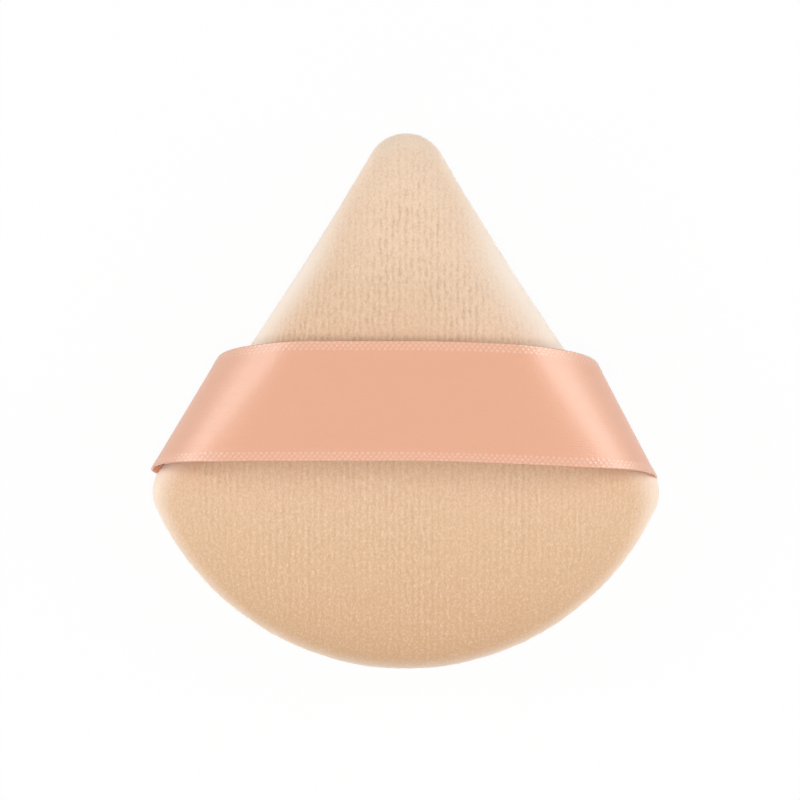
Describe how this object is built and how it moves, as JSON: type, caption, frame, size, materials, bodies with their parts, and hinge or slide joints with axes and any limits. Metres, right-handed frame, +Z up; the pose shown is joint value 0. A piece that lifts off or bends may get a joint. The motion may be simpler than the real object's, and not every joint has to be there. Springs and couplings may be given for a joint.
{
  "type": "powder puff",
  "caption": "Fan-shaped velour powder puff with a foam core and a satin ribbon finger strap caught in its side seams.",
  "frame": {"origin": "middle of the puff's outline, on the surface that it lies on", "axes": "+Z up through the pad to the strap, +Y towards the pointed tip, +X along the strap"},
  "size_m": [0.0688, 0.0722, 0.019],
  "materials": {
    "velour": "short cut-pile knit velour, beige",
    "satin": "smooth satin ribbon, peach, with a soft lengthwise sheen",
    "foam": "fine open-cell sponge, cream, hidden inside",
    "thread": "spun polyester sewing thread, beige"
  },
  "bodies": {
    "root": {"back_velour_cover": "velour", "foam_core": "foam", "front_velour_cover": "velour", "satin_strap": "satin", "needle_thread": "thread", "bobbin_thread": "thread", "closing_thread": "thread"}
  },
  "joints": []
}
